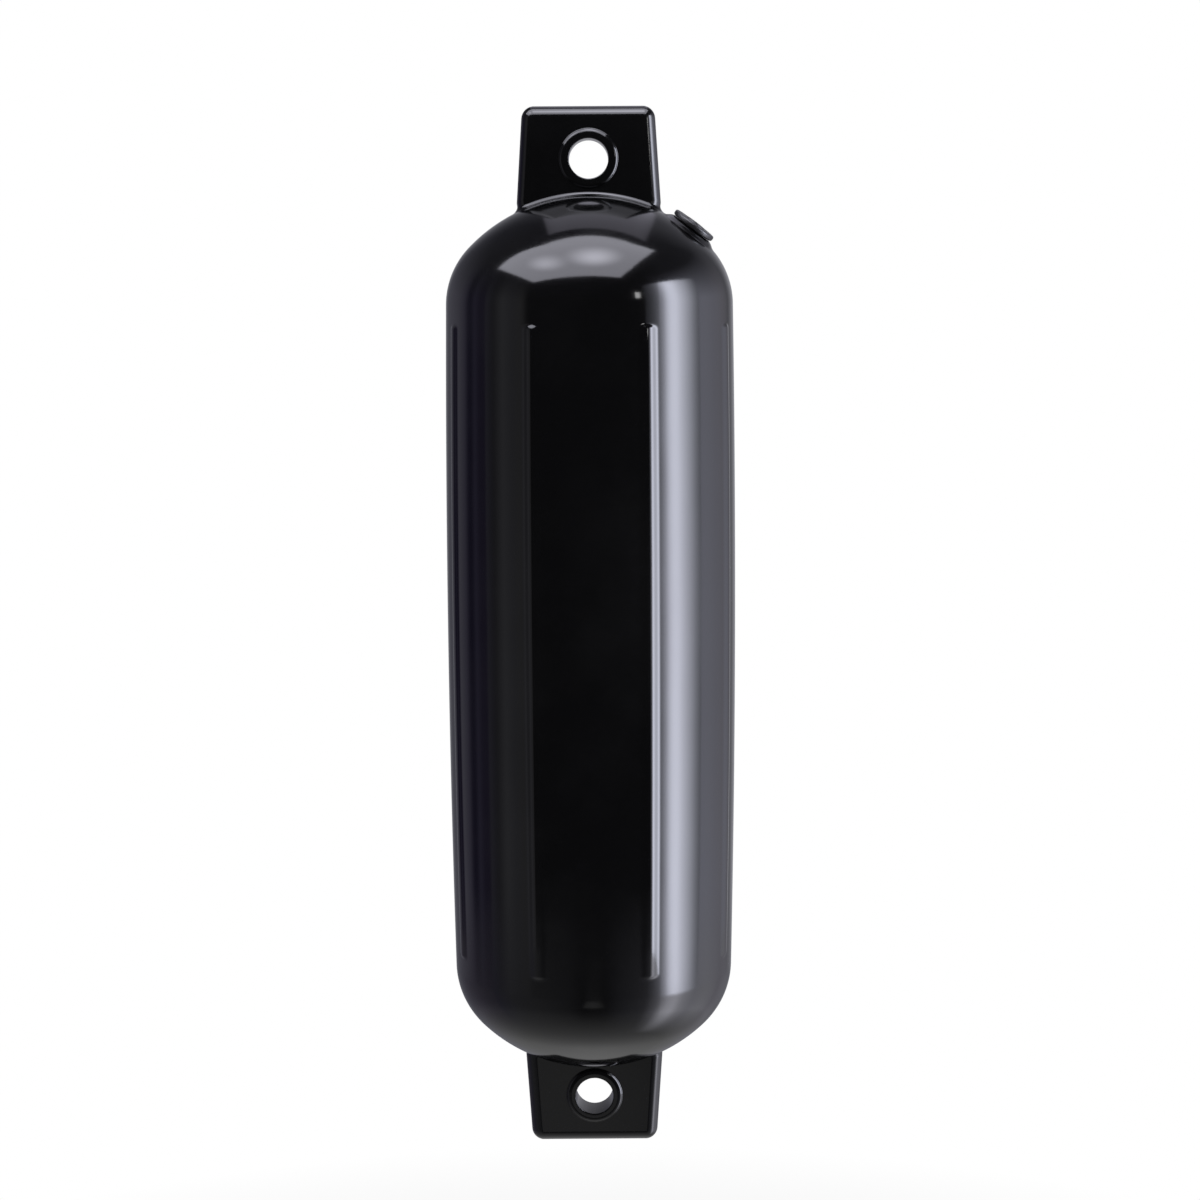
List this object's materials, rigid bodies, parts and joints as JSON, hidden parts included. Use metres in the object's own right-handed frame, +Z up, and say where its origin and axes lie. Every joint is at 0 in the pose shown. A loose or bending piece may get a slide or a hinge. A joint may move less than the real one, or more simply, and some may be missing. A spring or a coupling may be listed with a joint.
{
  "type": "pneumatic fender",
  "caption": "Inflated boat fender: a ribbed round barrel with domed ends, a flat rope-eye tab at each end and a plugged inflation valve on the shoulder.",
  "frame": {"origin": "middle of the fender: the centre of its box, on the barrel's axis, half way between the two tab ends", "axes": "+Z up along the fender towards the tab nearest the valve, -Y towards the viewer of the picture, so the tabs lie in the XZ plane"},
  "size_m": [0.1396, 0.1396, 0.508],
  "materials": {
    "vinyl": "glossy black moulded vinyl",
    "nylon": "satin black moulded nylon",
    "seal": "matt black soft seal"
  },
  "bodies": {
    "root": {"fender_body": "vinyl", "valve_insert": "nylon", "seal_ring": "seal", "valve_plug": "nylon"}
  },
  "joints": []
}
